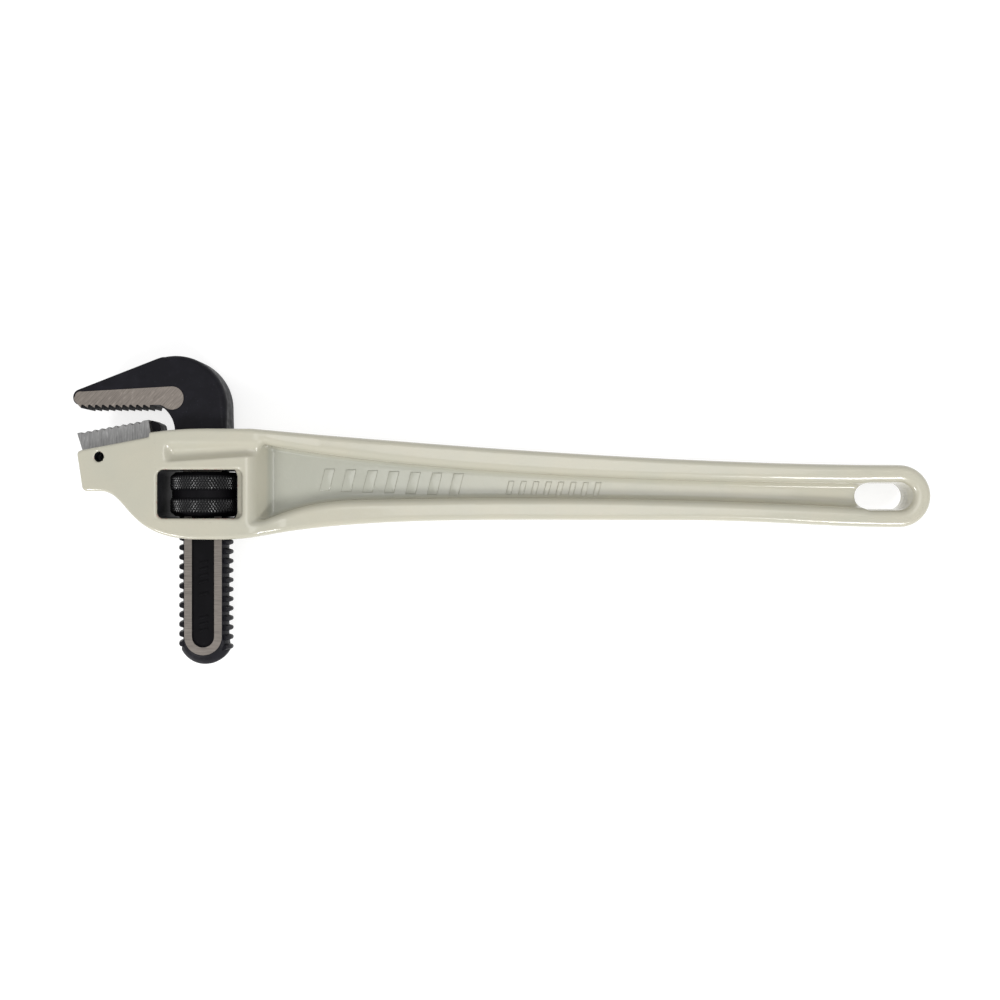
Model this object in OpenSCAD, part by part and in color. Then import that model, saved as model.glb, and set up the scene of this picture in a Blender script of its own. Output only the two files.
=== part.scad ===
// Offset pipe wrench: cast handle and jaw housing, pinned heel jaw, forged hook jaw on a threaded
// shank, knurled adjusting nut, and the leaf and coil springs that steady the hook.
// The head is drawn about the screw axis: x runs along the handle, y up the screw axis toward the
// hook, z across the jaws, with zero at the middle of the nut. The whole tool is then moved so that
// its origin is the bottom centre of its bounding box, lying on the side of its head.

/* [Thread] */
// Crest diameter of the shank's thread
thread_d = 28; // [24:0.5:34]
// Pitch of the thread, five turns to the inch
thread_pitch = 5.08; // [4.2:0.02:6.2]
// Depth of the thread
thread_depth = 2.15; // [1.6:0.05:2.6]
// Width of the tooth at its crest
tooth_crest = 1.9; // [1.4:0.1:2.2]
// Width of the groove at its root
groove_root = 1.7; // [1.3:0.1:2]
// Radial clearance between the nut's thread and the shank's
thread_clear = 0.35; // [0.2:0.05:0.6]
// Axial clearance on each flank of the thread
flank_clear = 0.3; // [0.15:0.05:0.5]

/* [Adjusting nut] */
// Outer diameter over the knurled bands
nut_od = 37; // [34:0.5:46]
// Height of the nut
nut_h = 23.2; // [18:0.2:30]
// Height of the smooth groove between the bands
nut_groove_h = 3.9; // [2:0.1:6]
// Depth of the smooth groove
nut_groove_depth = 1; // [0.4:0.1:1.5]
// Height of the chamfer at each end
nut_chamfer = 1.9; // [1:0.1:3]

/* [Hook jaw] */
// Thickness of the jaws across their teeth
jaw_thk = 19; // [16:0.5:24]
// Thickness of the shank over its ground flats
shank_thk = 13; // [12:0.5:18]
// Width of the plain neck above the thread
neck_w = 28.4; // [24:0.2:35]
// Length of the shank below the middle of the nut
shank_len = 90.4; // [80:0.2:115]
// Width of the sunk panel along the shank
panel_w = 11.4; // [6:0.2:13]
// Depth of the sunk panel
panel_depth = 1; // [0.5:0.1:1.5]
// Radius of the hook's back
hook_back_r = 26.9; // [22:0.1:34]
// Radius of the throat between the teeth and the neck
throat_r = 15.5; // [12:0.1:18]
// Radius of the hook's tip
tip_r = 4.4; // [3.4:0.1:5]
// Height of the tip's centre above the tooth tips
tip_rise = 5.8; // [5:0.1:7.5]
// Gap between the tooth tips at the throat, with the jaws as drawn
jaw_gap = 6.4; // [6:0.1:20]
// Pitch of the jaw teeth
jaw_pitch = 3.6; // [2.8:0.1:4.6]
// Depth of the hook's teeth
jaw_tooth_depth = 1.7; // [1:0.1:2.2]
// Number of teeth in the hook
hook_teeth = 11; // [7:1:12]

/* [Heel jaw] */
// Length of the toothed block along its seat
heel_len = 37.5; // [34:0.5:46]
// Height of the tooth tips above the seat
heel_h = 9.6; // [8:0.1:13]
// Depth of the heel jaw's teeth
heel_tooth_depth = 1.3; // [0.8:0.1:1.8]
// Number of teeth in the heel jaw
heel_teeth = 9; // [7:1:9]
// Length of the forged tail behind the toothed block
heel_tail = 6.5; // [4:0.5:9]
// Slope of the heel jaw's seat, in degrees
heel_slope = 10.6; // [5:0.1:14]
// Depth of the tongue below the seat
tongue_depth = 13; // [11:0.5:14]
// Thickness of the tongue
tongue_thk = 12; // [8:0.5:14]
// Diameter of the spring pin that holds the heel jaw
heel_pin_d = 5.2; // [4:0.1:6]
// Wall of the spring pin
heel_pin_wall = 1; // [0.6:0.1:1.4]

/* [Housing] */
// How far the nut's knurl lies inside each side face
nut_inset = 0.5; // [0.3:0.1:2]
// Thickness of the nose under the heel jaw's front
nose_thk = 30; // [27:0.5:36]
// Wall above the nut window
top_wall = 21.5; // [18:0.5:28]
// Wall below the nut window
bottom_wall = 11; // [8:0.5:16]
// Gap between the nut and each end of the window
nut_end_gap = 0.9; // [0.7:0.1:1.5]
// Gap between the nut and the window on the jaw side
nut_side_gap = 1.7; // [1:0.1:3]
// Gap between the nut and the window on the handle side
nut_back_gap = 4.8; // [4.2:0.1:8]
// Wall between the heel jaw's tail and the shank's slot
heel_wall = 4; // [3:0.5:7]

/* [Handle] */
// Reach from the screw axis to the end of the handle
handle_reach = 383; // [320:1:470]
// Radius of the eye at the handle's end
eye_r = 16.4; // [14:0.1:20]
// Width of the hang hole
hang_hole_w = 13.6; // [10:0.1:16]
// Distance between the centres of the hang hole's round ends
hang_hole_run = 14.3; // [6:0.1:24]
// Thickness over the handle's flanges where they leave the housing
flange_root_thk = 25; // [21:0.5:30]
// Thickness over the handle's flanges along the grip
flange_thk = 22; // [17:0.5:26]
// Thickness of the web between the flanges
web_thk = 6.5; // [5:0.5:9]

/* [Fits and travel] */
// Gap on each side of the shank in its slot, across the jaws
slot_side_gap = 0.4; // [0.3:0.05:0.8]
// Gap before and behind the neck in its slot, which lets the hook rock
slot_rock_gap = 1.4; // [1.3:0.05:2]
// Gap around the heel jaw's tongue
tongue_gap = 0.1; // [0.05:0.05:0.3]
// Thickness of the leaf spring
leaf_thk = 0.8; // [0.5:0.1:1]
// Width of the leaf spring
leaf_w = 10; // [7:0.5:12]
// Gap between the leaf spring and the neck
leaf_gap = 0.3; // [0.2:0.05:0.5]
// Outer diameter of the coil spring
coil_od = 6.2; // [5:0.1:7]
// Wire diameter of the coil spring
coil_wire = 0.8; // [0.5:0.1:1]
// Diameter of the leaf's rivet pin
rivet_d = 3; // [2:0.1:3.4]

/* [Hidden] */
$fn = 64;

enamel = [0.81, 0.80, 0.73];
black_forging = [0.13, 0.13, 0.15];
ground_steel = [0.56, 0.54, 0.52];
spring_steel = [0.35, 0.36, 0.40];

// Thread
crest_r = thread_d / 2;
root_r = crest_r - thread_depth;
flank_w = (thread_pitch - tooth_crest - groove_root) / 2;
lead_angle = atan(thread_pitch / (PI * (crest_r + root_r)));

// Window and slots
housing_thk = nut_od + 2 * nut_inset;
window_half_h = nut_h / 2 + nut_end_gap;
window_left = -(nut_od / 2 + nut_side_gap);
window_right = nut_od / 2 + nut_back_gap;
window_corner_r = 3;
neck_half = neck_w / 2;
slot_half_x = neck_half + slot_rock_gap;
slot_half_z = shank_thk / 2 + slot_side_gap;
slot_mouth = 2.5;
housing_top = window_half_h + top_wall;
housing_bottom = -(window_half_h + bottom_wall);

// Heel jaw seat: its tail ends one wall short of the shank's slot
heel_total = heel_len + heel_tail;
seat_end = [-(slot_half_x + heel_wall), housing_top - 3.5];
seat_start = seat_end - heel_total * [cos(heel_slope), sin(heel_slope)];
heel_pin_at = [11, -5.2];
tongue_from = 6;
tongue_to = heel_len - 4.5;
heel_side_gap = 0.15;
heel_pin_sunk = 1.5;

// Hook jaw
tooth_line = seat_start[1] + heel_len * sin(heel_slope) + heel_h * cos(heel_slope) + jaw_gap;
root_line = tooth_line + jaw_tooth_depth;
tip_at = [seat_start[0] - 0.5, tooth_line + tip_rise];
back_at = [neck_half - hook_back_r, tooth_line + 1.4];
throat_at = [-neck_half - throat_r, tooth_line - 12.1];
teeth_from = tip_at[0] + 0.3;
head_from = tooth_line - 5;
thread_top = nut_h / 2 + 6.4;
thread_bottom = -(shank_len - 11.4);
panel_top = 8;
pad_rise = 0.3;

// Leaf and coil springs, in a recess in the back wall of the shank's slot
recess_depth = 3.2;
recess_from = window_half_h + 1;
recess_to = housing_top - 1.4;
leaf_low_x = slot_half_x + 1.3;
leaf_high_x = neck_half + leaf_gap;
leaf_end_gap = 0.9;
rivet_y = recess_from + 3.6;
rivet_head_d = 5;
rivet_head_h = 0.7;
rivet_len = 10;
rivet_hole_gap = 0.6;
coil_y = recess_to - 5.4;
coil_gap = 0.4;
coil_turns = 6;
coil_pocket_end = slot_half_x + 12;

// Handle
eye_at = [handle_reach - eye_r, -1.05];
boss_right = window_right + 5;
boss_slope_end = boss_right + 15;
top_step_y = window_half_h + 4;
pocket_from = window_right + 13.5;
grip_from = 150;
mark_rise = 0.6;

// Bottom centre of the bounding box
box_left = tip_at[0] - tip_r;
box_top = back_at[1] + hook_back_r;
origin = [(box_left + handle_reach) / 2, (box_top - shank_len) / 2, -housing_thk / 2];

// Points along a cubic curve, without its first point
function curve(a, b, c, d, n = 12) = [for (i = [1:n]) let (t = i / n, s = 1 - t)
    s * s * s * a + 3 * s * s * t * b + 3 * s * t * t * c + t * t * t * d];

// Points along an arc from angle a to angle b
function arc(at, r, a, b, n = 12) = [for (i = [0:n]) let (q = a + (b - a) * i / n)
    at + r * [cos(q), sin(q)]];

// Moves the head's drawing into the tool's own frame
module placed() translate(-origin) children();

// A prism of the plan shape, centred across the jaws
module slab(thk) linear_extrude(height = thk, center = true) children();

// A rod along the screw axis, and one along the handle
module rod_y(r, from, to) translate([0, from, 0]) rotate([-90, 0, 0]) cylinder(r = r, h = to - from);
module rod_x(r, from, to) translate([from, 0, 0]) rotate([0, 90, 0]) cylinder(r = r, h = to - from);

// The heel jaw's own drawing: u along the seat, v up from it
module on_seat() translate(seat_start) rotate(heel_slope) children();
function seat_point(u, v) = seat_start
    + [u * cos(heel_slope) - v * sin(heel_slope), u * sin(heel_slope) + v * cos(heel_slope)];

// ---- handle ----

module outline_2d() {
    nose = seat_start - [0.5, 0];
    toe = [nose[0] + 3, nose[1] - 18.5];
    belly = [slot_half_x - 16, housing_bottom];
    shoulder = seat_point(heel_len + 1.2, 0);
    polygon(concat(
        [nose, shoulder, shoulder + [0.3, 2.3]],
        curve(shoulder + [0.3, 2.3], shoulder + [10, 3.7], [-6, housing_top - 0.1], [5, housing_top]),
        [[28, housing_top]],
        curve([28, housing_top], [115, housing_top - 7.3], [handle_reach - 133, eye_at[1] + eye_r],
            eye_at + [0, eye_r], 24),
        arc(eye_at, eye_r, 85, -90, 20),
        curve(eye_at - [0, eye_r], eye_at - [41, eye_r], [handle_reach - 83, -13],
            [handle_reach - 133, -13], 12),
        curve([handle_reach - 133, -13], [handle_reach - 233, -13], [85, housing_bottom + 12.4],
            [28, housing_bottom + 0.9], 20),
        curve([28, housing_bottom + 0.9], [18, housing_bottom - 0.5], [10, housing_bottom], belly, 8),
        curve(belly, belly - [18, -0.3], belly + [-28, 6.5], toe + [25, -13], 12),
        curve(toe + [25, -13], toe + [19, -6], toe + [16, -2.6], toe + [10, -2.4], 10),
        arc(toe + [2.6, 0.2], 2.6, 270, 188, 6)));
}

// Side profile of the housing and handle, in x and z
module thickness_2d(top) {
    side = top
        ? [[-100, nose_thk / 2], [seat_start[0], nose_thk / 2], [seat_end[0], housing_thk / 2],
            [-slot_half_x, housing_thk / 2], [pocket_from, flange_root_thk / 2 + 2.2],
            [boss_slope_end + 16, flange_root_thk / 2]]
        : [[-100, nose_thk / 2], [seat_start[0], nose_thk / 2], [seat_end[0], housing_thk / 2],
            [boss_right, housing_thk / 2], [boss_slope_end, flange_root_thk / 2]];
    grip = [[grip_from, flange_thk / 2], [handle_reach + 1, flange_thk / 2]];
    half = concat(side, grip);
    last = len(half) - 1;
    polygon(concat(half, [for (i = [0:last]) [half[last - i][0], -half[last - i][1]]]));
}

module thickness(top, from, to) translate([0, to, 0]) rotate([90, 0, 0])
    linear_extrude(height = to - from) thickness_2d(top);

module pocket_2d() {
    end_x = eye_at[0] - hang_hole_run;
    half = hang_hole_w / 2;
    polygon(concat(
        [[pocket_from, housing_bottom + 9]],
        curve([pocket_from, housing_bottom + 9], [44, -9.5], [58, -4.6], [80, -4], 8),
        curve([80, -4], [170, -1.2], [handle_reach - 113, -2.6], [end_x, eye_at[1] - half], 16),
        [[end_x, eye_at[1] + half]],
        curve([end_x, eye_at[1] + half], [handle_reach - 153, 6.5], [110, 11.5],
            [pocket_from, housing_top - 9.5], 20)));
}

module window_2d() {
    r = window_corner_r;
    w = window_right - window_left;
    translate([window_left + r, -window_half_h]) square([w - 2 * r, 2 * window_half_h]);
    translate([window_left, r - window_half_h]) square([w, 2 * (window_half_h - r)]);
    for (x = [window_left + r, window_right - r], y = [r - window_half_h, window_half_h - r])
        translate([x, y]) circle(r);
}

module hang_hole_2d() {
    for (x = [0, -hang_hole_run]) translate(eye_at + [x, 0]) circle(d = hang_hole_w);
    translate(eye_at - [hang_hole_run, hang_hole_w / 2]) square([hang_hole_run, hang_hole_w]);
}

module shank_slot() {
    translate([-slot_half_x, housing_bottom - 1, -slot_half_z])
        cube([2 * slot_half_x, housing_top - housing_bottom + 2, 2 * slot_half_z]);
    // The slot's flared mouth, under the hook's throat
    slab(2 * slot_half_z) polygon([[-slot_half_x - slot_mouth - 1, housing_top + 1],
        [-slot_half_x, housing_top - slot_mouth], [slot_half_x, housing_top - slot_mouth],
        [slot_half_x + slot_mouth + 1, housing_top + 1]]);
}

module spring_recess() {
    translate([slot_half_x - 1, recess_from, -leaf_w / 2 - 0.6])
        cube([recess_depth + 1, recess_to - recess_from, leaf_w + 1.2]);
    translate([0, coil_y, 0]) rod_x(coil_od / 2 + coil_gap, slot_half_x, coil_pocket_end);
    translate([0, rivet_y, 0]) rod_x(rivet_d / 2, slot_half_x, slot_half_x + rivet_len);
}

module heel_seat_cut() {
    on_seat() {
        translate([-3, 0, -jaw_thk / 2 - heel_side_gap])
            cube([heel_total + 3.2, 20, jaw_thk + 2 * heel_side_gap]);
        translate([tongue_from - tongue_gap, -tongue_depth - 0.3, -tongue_thk / 2 - tongue_gap])
            cube([tongue_to - tongue_from + 2 * tongue_gap, tongue_depth + 1, tongue_thk + 2 * tongue_gap]);
        translate(heel_pin_at) cylinder(d = heel_pin_d, h = housing_thk + 2, center = true);
    }
}

// Plain raised bars in the web, two rows of them
module web_marks() {
    for (i = [0:6]) translate([66 + 11.4 * i, 4.6 - 0.35 * i])
        rotate(-14) square([5, 10.4], center = true);
    for (i = [0:7]) translate([163 + 6.6 * i, 2.6 - 0.12 * i])
        rotate(-14) square([2.8, 7], center = true);
}

module handle() color(enamel) placed() difference() {
    union() {
        difference() {
            intersection() {
                slab(housing_thk) outline_2d();
                union() {
                    thickness(false, housing_bottom - 1, top_step_y);
                    thickness(true, top_step_y, housing_top + 1);
                }
            }
            for (side = [0, 1]) mirror([0, 0, side]) translate([0, 0, web_thk / 2])
                linear_extrude(height = housing_thk) pocket_2d();
        }
        slab(web_thk + 2 * mark_rise) web_marks();
    }
    slab(housing_thk + 2) window_2d();
    slab(housing_thk + 2) hang_hole_2d();
    shank_slot();
    spring_recess();
    heel_seat_cut();
}

// ---- heel jaw and its pin ----

module heel_2d() {
    first = 2.4;
    root = heel_h - heel_tooth_depth;
    pitch = (heel_len - first - 3) / heel_teeth;
    teeth = [for (i = [0:heel_teeth - 1], p = [0, 1])
        [first + pitch * (i + 0.12 * p), p == 0 ? root : heel_h]];
    polygon(concat([[0, 0], [0, root + 0.5], [first - 0.9, root + 0.5]], teeth,
        [[heel_len - 3, root], [heel_len - 2.5, heel_h], [heel_len, heel_h],
        [heel_total - 1.3, heel_h - 2.6], [heel_total, heel_h - 4.6], [heel_total, 0]]));
}

module heel_jaw() color(ground_steel) placed() on_seat() difference() {
    union() {
        slab(jaw_thk) heel_2d();
        translate([tongue_from, -tongue_depth, -tongue_thk / 2])
            cube([tongue_to - tongue_from, tongue_depth + 1, tongue_thk]);
    }
    translate(heel_pin_at) cylinder(d = heel_pin_d, h = jaw_thk, center = true);
}

module heel_jaw_pin() color(spring_steel) placed() on_seat() translate(heel_pin_at) difference() {
    length = nose_thk - 2 * heel_pin_sunk;
    cylinder(d = heel_pin_d, h = length, center = true);
    cylinder(d = heel_pin_d - 2 * heel_pin_wall, h = length + 2, center = true);
    // The slot down one side of the rolled pin
    translate([heel_pin_d / 2, 0, 0]) cube([heel_pin_d, heel_pin_wall, length + 2], center = true);
}

// ---- hook jaw ----

// Hooked head: tip and back arcs joined by their common tangent, with the throat cut away
module head_2d() {
    run = back_at - tip_at;
    lean = atan2(run[1], run[0]) + asin((hook_back_r - tip_r) / norm(run));
    up = [-sin(lean), cos(lean)];
    difference() {
        union() {
            translate(tip_at) circle(tip_r);
            translate(back_at) circle(hook_back_r);
            polygon([tip_at - [0, tip_r], tip_at + tip_r * up, back_at + hook_back_r * up,
                back_at + [hook_back_r, 0], [neck_half, throat_at[1]], [-neck_half, throat_at[1]],
                [-neck_half - 10, throat_at[1]], [-neck_half - 10, root_line], [teeth_from, root_line]]);
        }
        translate([tip_at[0] - 20, root_line - 60]) square([-neck_half - 9 - tip_at[0] + 20, 60]);
        translate([-neck_half - 20, throat_at[1] - 60]) square([20, 60]);
        intersection() {
            translate(throat_at) circle(throat_r);
            translate([teeth_from + jaw_pitch * (hook_teeth - 1) + 1, root_line - 60]) square([60, 80]);
        }
    }
    for (i = [0:hook_teeth - 1]) translate([teeth_from + jaw_pitch * i, root_line])
        polygon([[0.3, 0.3], [0.3, 0], [0, -jaw_tooth_depth], [-jaw_pitch + 0.9, 0], [-jaw_pitch + 0.9, 0.3]]);
}

module pad_2d() {
    end_at = [-neck_half - 1.2, tooth_line + 5.3];
    polygon([[tip_at[0] - 9, tooth_line - 3], [tip_at[0] - 9, tip_at[1] + 2.8],
        end_at + [-1, 6.2], end_at, end_at - [1, 9]]);
    translate(end_at) circle(6.2);
}

// Thread rings tilted to the lead angle, kept on one edge of the shank
module rack(side) {
    turns = ceil((thread_top - thread_bottom) / thread_pitch);
    first = thread_bottom + (side > 0 ? 0 : thread_pitch / 2);
    start = thread_pitch * floor(first / thread_pitch) + (side > 0 ? 0 : thread_pitch / 2);
    out = crest_r + 1;
    in = root_r - 1;
    slope = flank_w * (out - root_r) / thread_depth;
    tip = tooth_crest / 2 + flank_w - slope;
    foot = tooth_crest / 2 + flank_w * (1 + (root_r - in) / thread_depth);
    intersection() {
        translate([side > 0 ? 0 : -out, thread_bottom - thread_pitch, -out])
            cube([out, thread_top - thread_bottom + 2 * thread_pitch, 2 * out]);
        for (i = [0:turns]) let (y = start + thread_pitch * i) if (y < thread_top)
            translate([0, y, 0]) rotate([side * lead_angle - 90, 0, 0])
                rotate_extrude() polygon([[in, -foot], [out, -tip], [out, tip], [in, foot]]);
    }
}

module shank() difference() {
    intersection() {
        union() {
            rod_y(root_r, -shank_len, thread_top + 1);
            intersection() {
                union() {
                    rack(1);
                    rack(-1);
                }
                rod_y(crest_r, thread_bottom - 2, thread_top + 1);
            }
        }
        slab(shank_thk) {
            translate([0, crest_r - shank_len]) circle(crest_r);
            translate([-crest_r, crest_r - shank_len]) square([thread_d, shank_len + thread_top]);
        }
        // Chamfer across the end of the flats
        translate([-crest_r - 1, 0, 0]) rotate([90, 0, 90]) linear_extrude(height = thread_d + 2)
            polygon([[-shank_len, 3], [-shank_len + 5, shank_thk / 2], [thread_top + 1, shank_thk / 2],
                [thread_top + 1, -shank_thk / 2], [-shank_len + 5, -shank_thk / 2], [-shank_len, -3]]);
    }
    for (side = [0, 1]) mirror([0, 0, side]) translate([0, 0, shank_thk / 2 - panel_depth])
        linear_extrude(height = 5) {
            translate([0, panel_w / 2 - shank_len + 9.4]) circle(d = panel_w);
            translate([-panel_w / 2, panel_w / 2 - shank_len + 9.4])
                square([panel_w, panel_top + shank_len - panel_w / 2 - 9.4]);
        }
}

module hook_jaw() color(black_forging) placed() {
    shank();
    translate([-neck_half, thread_top, -shank_thk / 2]) cube([neck_w, head_from - thread_top, shank_thk]);
    slab(shank_thk) intersection() {
        head_2d();
        translate([-200, 0]) square([400, head_from + 0.1]);
    }
    slab(jaw_thk - 2 * pad_rise) intersection() {
        head_2d();
        translate([-200, head_from]) square([400, 100]);
    }
    slab(jaw_thk) intersection() {
        head_2d();
        pad_2d();
    }
}

// ---- adjusting nut ----

// Helical ridge inside the nut, half a pitch from the shank's crests
module nut_ridge() {
    steps = 24;
    inner = root_r + thread_clear;
    bore = crest_r + thread_clear;
    outer = bore + 0.6;
    crest = groove_root - 2 * flank_clear + 2 * flank_w * thread_clear / thread_depth;
    base = crest + 2 * flank_w * (outer - inner) / thread_depth;
    turns = floor((nut_h - base) / thread_pitch * steps) / steps;
    count = turns * steps;
    // Angle from +x about the screw axis, right-handed, at which the ridge lies at height y
    points = [for (i = [0:count]) let (y = thread_pitch * (i - count / 2) / steps,
        a = 360 * (y / thread_pitch - 0.5), u = [cos(a), -sin(a)])
        for (c = [[inner, -crest / 2], [outer, -base / 2], [outer, base / 2], [inner, crest / 2]])
            [c[0] * u[0], y + c[1], c[0] * u[1]]];
    sides = [for (i = [0:count - 1], j = [0:3]) let (k = (j + 1) % 4)
        [4 * i + j, 4 * i + k, 4 * i + 4 + k, 4 * i + 4 + j]];
    polyhedron(points, concat(sides, [[3, 2, 1, 0], [for (j = [0:3]) 4 * count + j]]));
}

module adjusting_nut() color(black_forging) placed() {
    r = nut_od / 2;
    h = nut_h / 2;
    bore = crest_r + thread_clear;
    band = h - nut_chamfer;
    groove = nut_groove_h / 2;
    low = r - nut_groove_depth;
    rotate([-90, 0, 0]) rotate_extrude() polygon([
        [bore, -h], [r - 2.4, -h], [r, -band], [r, -groove - 0.5], [low, -groove], [low, groove],
        [r, groove + 0.5], [r, band], [r - 2.4, h], [bore, h]]);
    nut_ridge();
}

// ---- springs ----

module flat_spring() color(spring_steel) placed() difference() {
    low = recess_from + leaf_end_gap;
    high = recess_to - leaf_end_gap;
    front = concat([[leaf_low_x, low], [leaf_low_x, rivet_y + 3.2]],
        curve([leaf_low_x, rivet_y + 3.2], [leaf_low_x, rivet_y + 5.2],
            [leaf_high_x, coil_y - 5.5], [leaf_high_x, coil_y - 3.5], 8),
        [[leaf_high_x, coil_y + 2.4], [leaf_high_x + 0.8, high]]);
    last = len(front) - 1;
    slab(leaf_w) polygon(concat(front, [for (i = [0:last]) front[last - i] + [leaf_thk, 0]]));
    translate([0, rivet_y, 0]) rod_x(rivet_d / 2 + rivet_hole_gap, leaf_low_x - 1, leaf_low_x + 2);
}

module coil_spring() color(spring_steel) placed() {
    steps = 12;
    ring = 8;
    r = (coil_od - coil_wire) / 2;
    from = leaf_high_x + leaf_thk + coil_wire / 2 + 0.05;
    to = coil_pocket_end - coil_wire / 2;
    count = coil_turns * steps;
    points = [for (i = [0:count]) let (a = 360 * i / steps, x = from + (to - from) * i / count,
        u = [0, cos(a), sin(a)], at = [x, coil_y, 0] + r * u)
        for (j = [0:ring - 1]) let (b = 360 * j / ring)
            at + coil_wire / 2 * (cos(b) * u + sin(b) * [1, 0, 0])];
    sides = [for (i = [0:count - 1], j = [0:ring - 1]) let (k = (j + 1) % ring)
        [ring * i + j, ring * i + k, ring * (i + 1) + k, ring * (i + 1) + j]];
    polyhedron(points, concat(sides, [[for (j = [0:ring - 1]) ring - 1 - j],
        [for (j = [0:ring - 1]) ring * count + j]]));
}

module spring_pin() color(spring_steel) placed() translate([0, rivet_y, 0]) {
    rod_x(rivet_d / 2, slot_half_x + 0.3, slot_half_x + rivet_len);
    rod_x(rivet_head_d / 2, slot_half_x + 0.1, slot_half_x + 0.1 + rivet_head_h);
}

handle();
heel_jaw();
heel_jaw_pin();
hook_jaw();
adjusting_nut();
flat_spring();
coil_spring();
spring_pin();
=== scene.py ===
import math
import bmesh
import bpy
import numpy as np
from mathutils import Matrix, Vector


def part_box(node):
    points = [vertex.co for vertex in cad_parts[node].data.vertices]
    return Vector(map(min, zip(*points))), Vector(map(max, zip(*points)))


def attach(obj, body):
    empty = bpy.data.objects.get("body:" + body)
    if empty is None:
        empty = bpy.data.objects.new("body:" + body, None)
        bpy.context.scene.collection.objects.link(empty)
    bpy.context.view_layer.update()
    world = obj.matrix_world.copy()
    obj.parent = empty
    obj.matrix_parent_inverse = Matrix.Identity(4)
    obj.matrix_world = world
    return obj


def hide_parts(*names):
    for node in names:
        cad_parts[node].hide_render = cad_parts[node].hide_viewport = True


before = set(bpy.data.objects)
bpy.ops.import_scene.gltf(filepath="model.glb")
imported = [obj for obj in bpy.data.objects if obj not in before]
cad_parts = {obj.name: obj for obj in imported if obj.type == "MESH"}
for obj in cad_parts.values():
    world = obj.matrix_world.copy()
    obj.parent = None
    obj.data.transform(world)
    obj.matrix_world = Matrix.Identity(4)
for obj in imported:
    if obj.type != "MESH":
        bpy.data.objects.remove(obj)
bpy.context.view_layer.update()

MM = 0.001
NUT_LOW, NUT_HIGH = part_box("adjusting_nut")
# The head is drawn in millimetres about the middle of the nut: x along the handle, y up the screw,
# z across the jaws
HEAD = np.array((NUT_LOW + NUT_HIGH) / 2)

# ---------------------------------------------------------------- sizes, in millimetres

THREAD_PITCH = 5.08
CREST_R = 14.0
ROOT_R = 11.85
TOOTH_CREST = 1.9
GROOVE_ROOT = 1.7
NUT_R = (NUT_HIGH.x - NUT_LOW.x) / 2 / MM
NUT_HALF_H = (NUT_HIGH.y - NUT_LOW.y) / 2 / MM

WINDOW_HALF_H = NUT_HALF_H + 0.9
WINDOW_LEFT = -(NUT_R + 1.7)
WINDOW_RIGHT = NUT_R + 4.8
WINDOW_CORNER = 3.0
HOUSING_HALF = (NUT_HIGH.z - NUT_LOW.z) / 2 / MM + 0.5
HOUSING_TOP = WINDOW_HALF_H + 21.5
HOUSING_BOTTOM = -(WINDOW_HALF_H + 11.0)
NOSE_HALF = 15.0
FLANGE_ROOT_HALF = 12.5
FLANGE_HALF = 11.0
WEB_HALF = 3.25
GRIP_BOTTOM = -13.7
# The trough over the window, and how far the step up to the window's face runs
TROUGH_DEPTH = 4.6
STEP_RUN = 6.4
# Where the window's right wall ends after it has leaned in toward the nut
LEAN_END = NUT_R + 1.0
# The grid that the casting is drawn on starts just before the nose
GRID_START = -66.0
CELL = 0.76

JAW_HALF = 9.5
SHANK_HALF = 6.5
NECK_HALF = 14.2
SLOT_HALF_X = NECK_HALF + 1.4
SLOT_HALF_Z = SHANK_HALF + 0.4
SHANK_END = (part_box("hook_jaw")[0].y - HEAD[1]) / MM

HEEL_LEN = 37.5
HEEL_TAIL = 6.5
TAIL_HALF = 5.6
HEEL_H = 9.6
HEEL_SLOPE = math.radians(10.6)
SEAT_END = np.array([-(SLOT_HALF_X + 4.0), HOUSING_TOP - 3.5])
SEAT_DIR = np.array([math.cos(HEEL_SLOPE), math.sin(HEEL_SLOPE)])
SEAT_UP = np.array([-SEAT_DIR[1], SEAT_DIR[0]])
SEAT_START = SEAT_END - (HEEL_LEN + HEEL_TAIL) * SEAT_DIR
HEEL_PIN = SEAT_START + 11 * SEAT_DIR - 5.2 * SEAT_UP
HEEL_PIN_R = 2.6

TOOTH_LINE = SEAT_START[1] + HEEL_LEN * SEAT_DIR[1] + HEEL_H * SEAT_DIR[0] + 6.4
JAW_PITCH = 3.6
HOOK_TEETH = 11
HOOK_TOOTH_DEPTH = 1.7

HANDLE_END = (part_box("handle")[1].x - HEAD[0]) / MM
EYE_R = 16.4
EYE = np.array([HANDLE_END - EYE_R, -1.05])
HOLE_R = 6.8
HOLE_RUN = 14.3


# ---------------------------------------------------------------- drawing aids

def curve(a, b, c, d, n=16):
    """Points along a cubic curve, without its first point."""
    t = np.linspace(0, 1, n + 1)[1:, None]
    s = 1 - t
    a, b, c, d = (np.array(p, float) for p in (a, b, c, d))
    return s ** 3 * a + 3 * s * s * t * b + 3 * s * t * t * c + t ** 3 * d


def arc(at, r, first, last, n=16):
    """Points along an arc between two angles in degrees."""
    q = np.radians(np.linspace(first, last, n + 1))
    return np.array(at, float) + r * np.stack([np.cos(q), np.sin(q)], 1)


def outline(*runs):
    """One closed outline from points and runs of points."""
    return np.concatenate([np.atleast_2d(np.array(run, float)) for run in runs])


def in_scene(name, data):
    """A new object in the scene, at the origin."""
    made = bpy.data.objects.new(name, data)
    bpy.context.scene.collection.objects.link(made)
    return made


def shell(name, points, faces, indices=None):
    """A mesh object from points drawn in millimetres about the head."""
    mesh = bpy.data.meshes.new(name)
    placed = np.asarray(points, float) * MM + HEAD
    mesh.from_pydata(placed.tolist(), [], [list(map(int, f)) for f in faces])
    if indices is not None:
        mesh.polygons.foreach_set("material_index", np.asarray(indices, np.int32))
    mesh.update()
    return in_scene(name, mesh)


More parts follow.
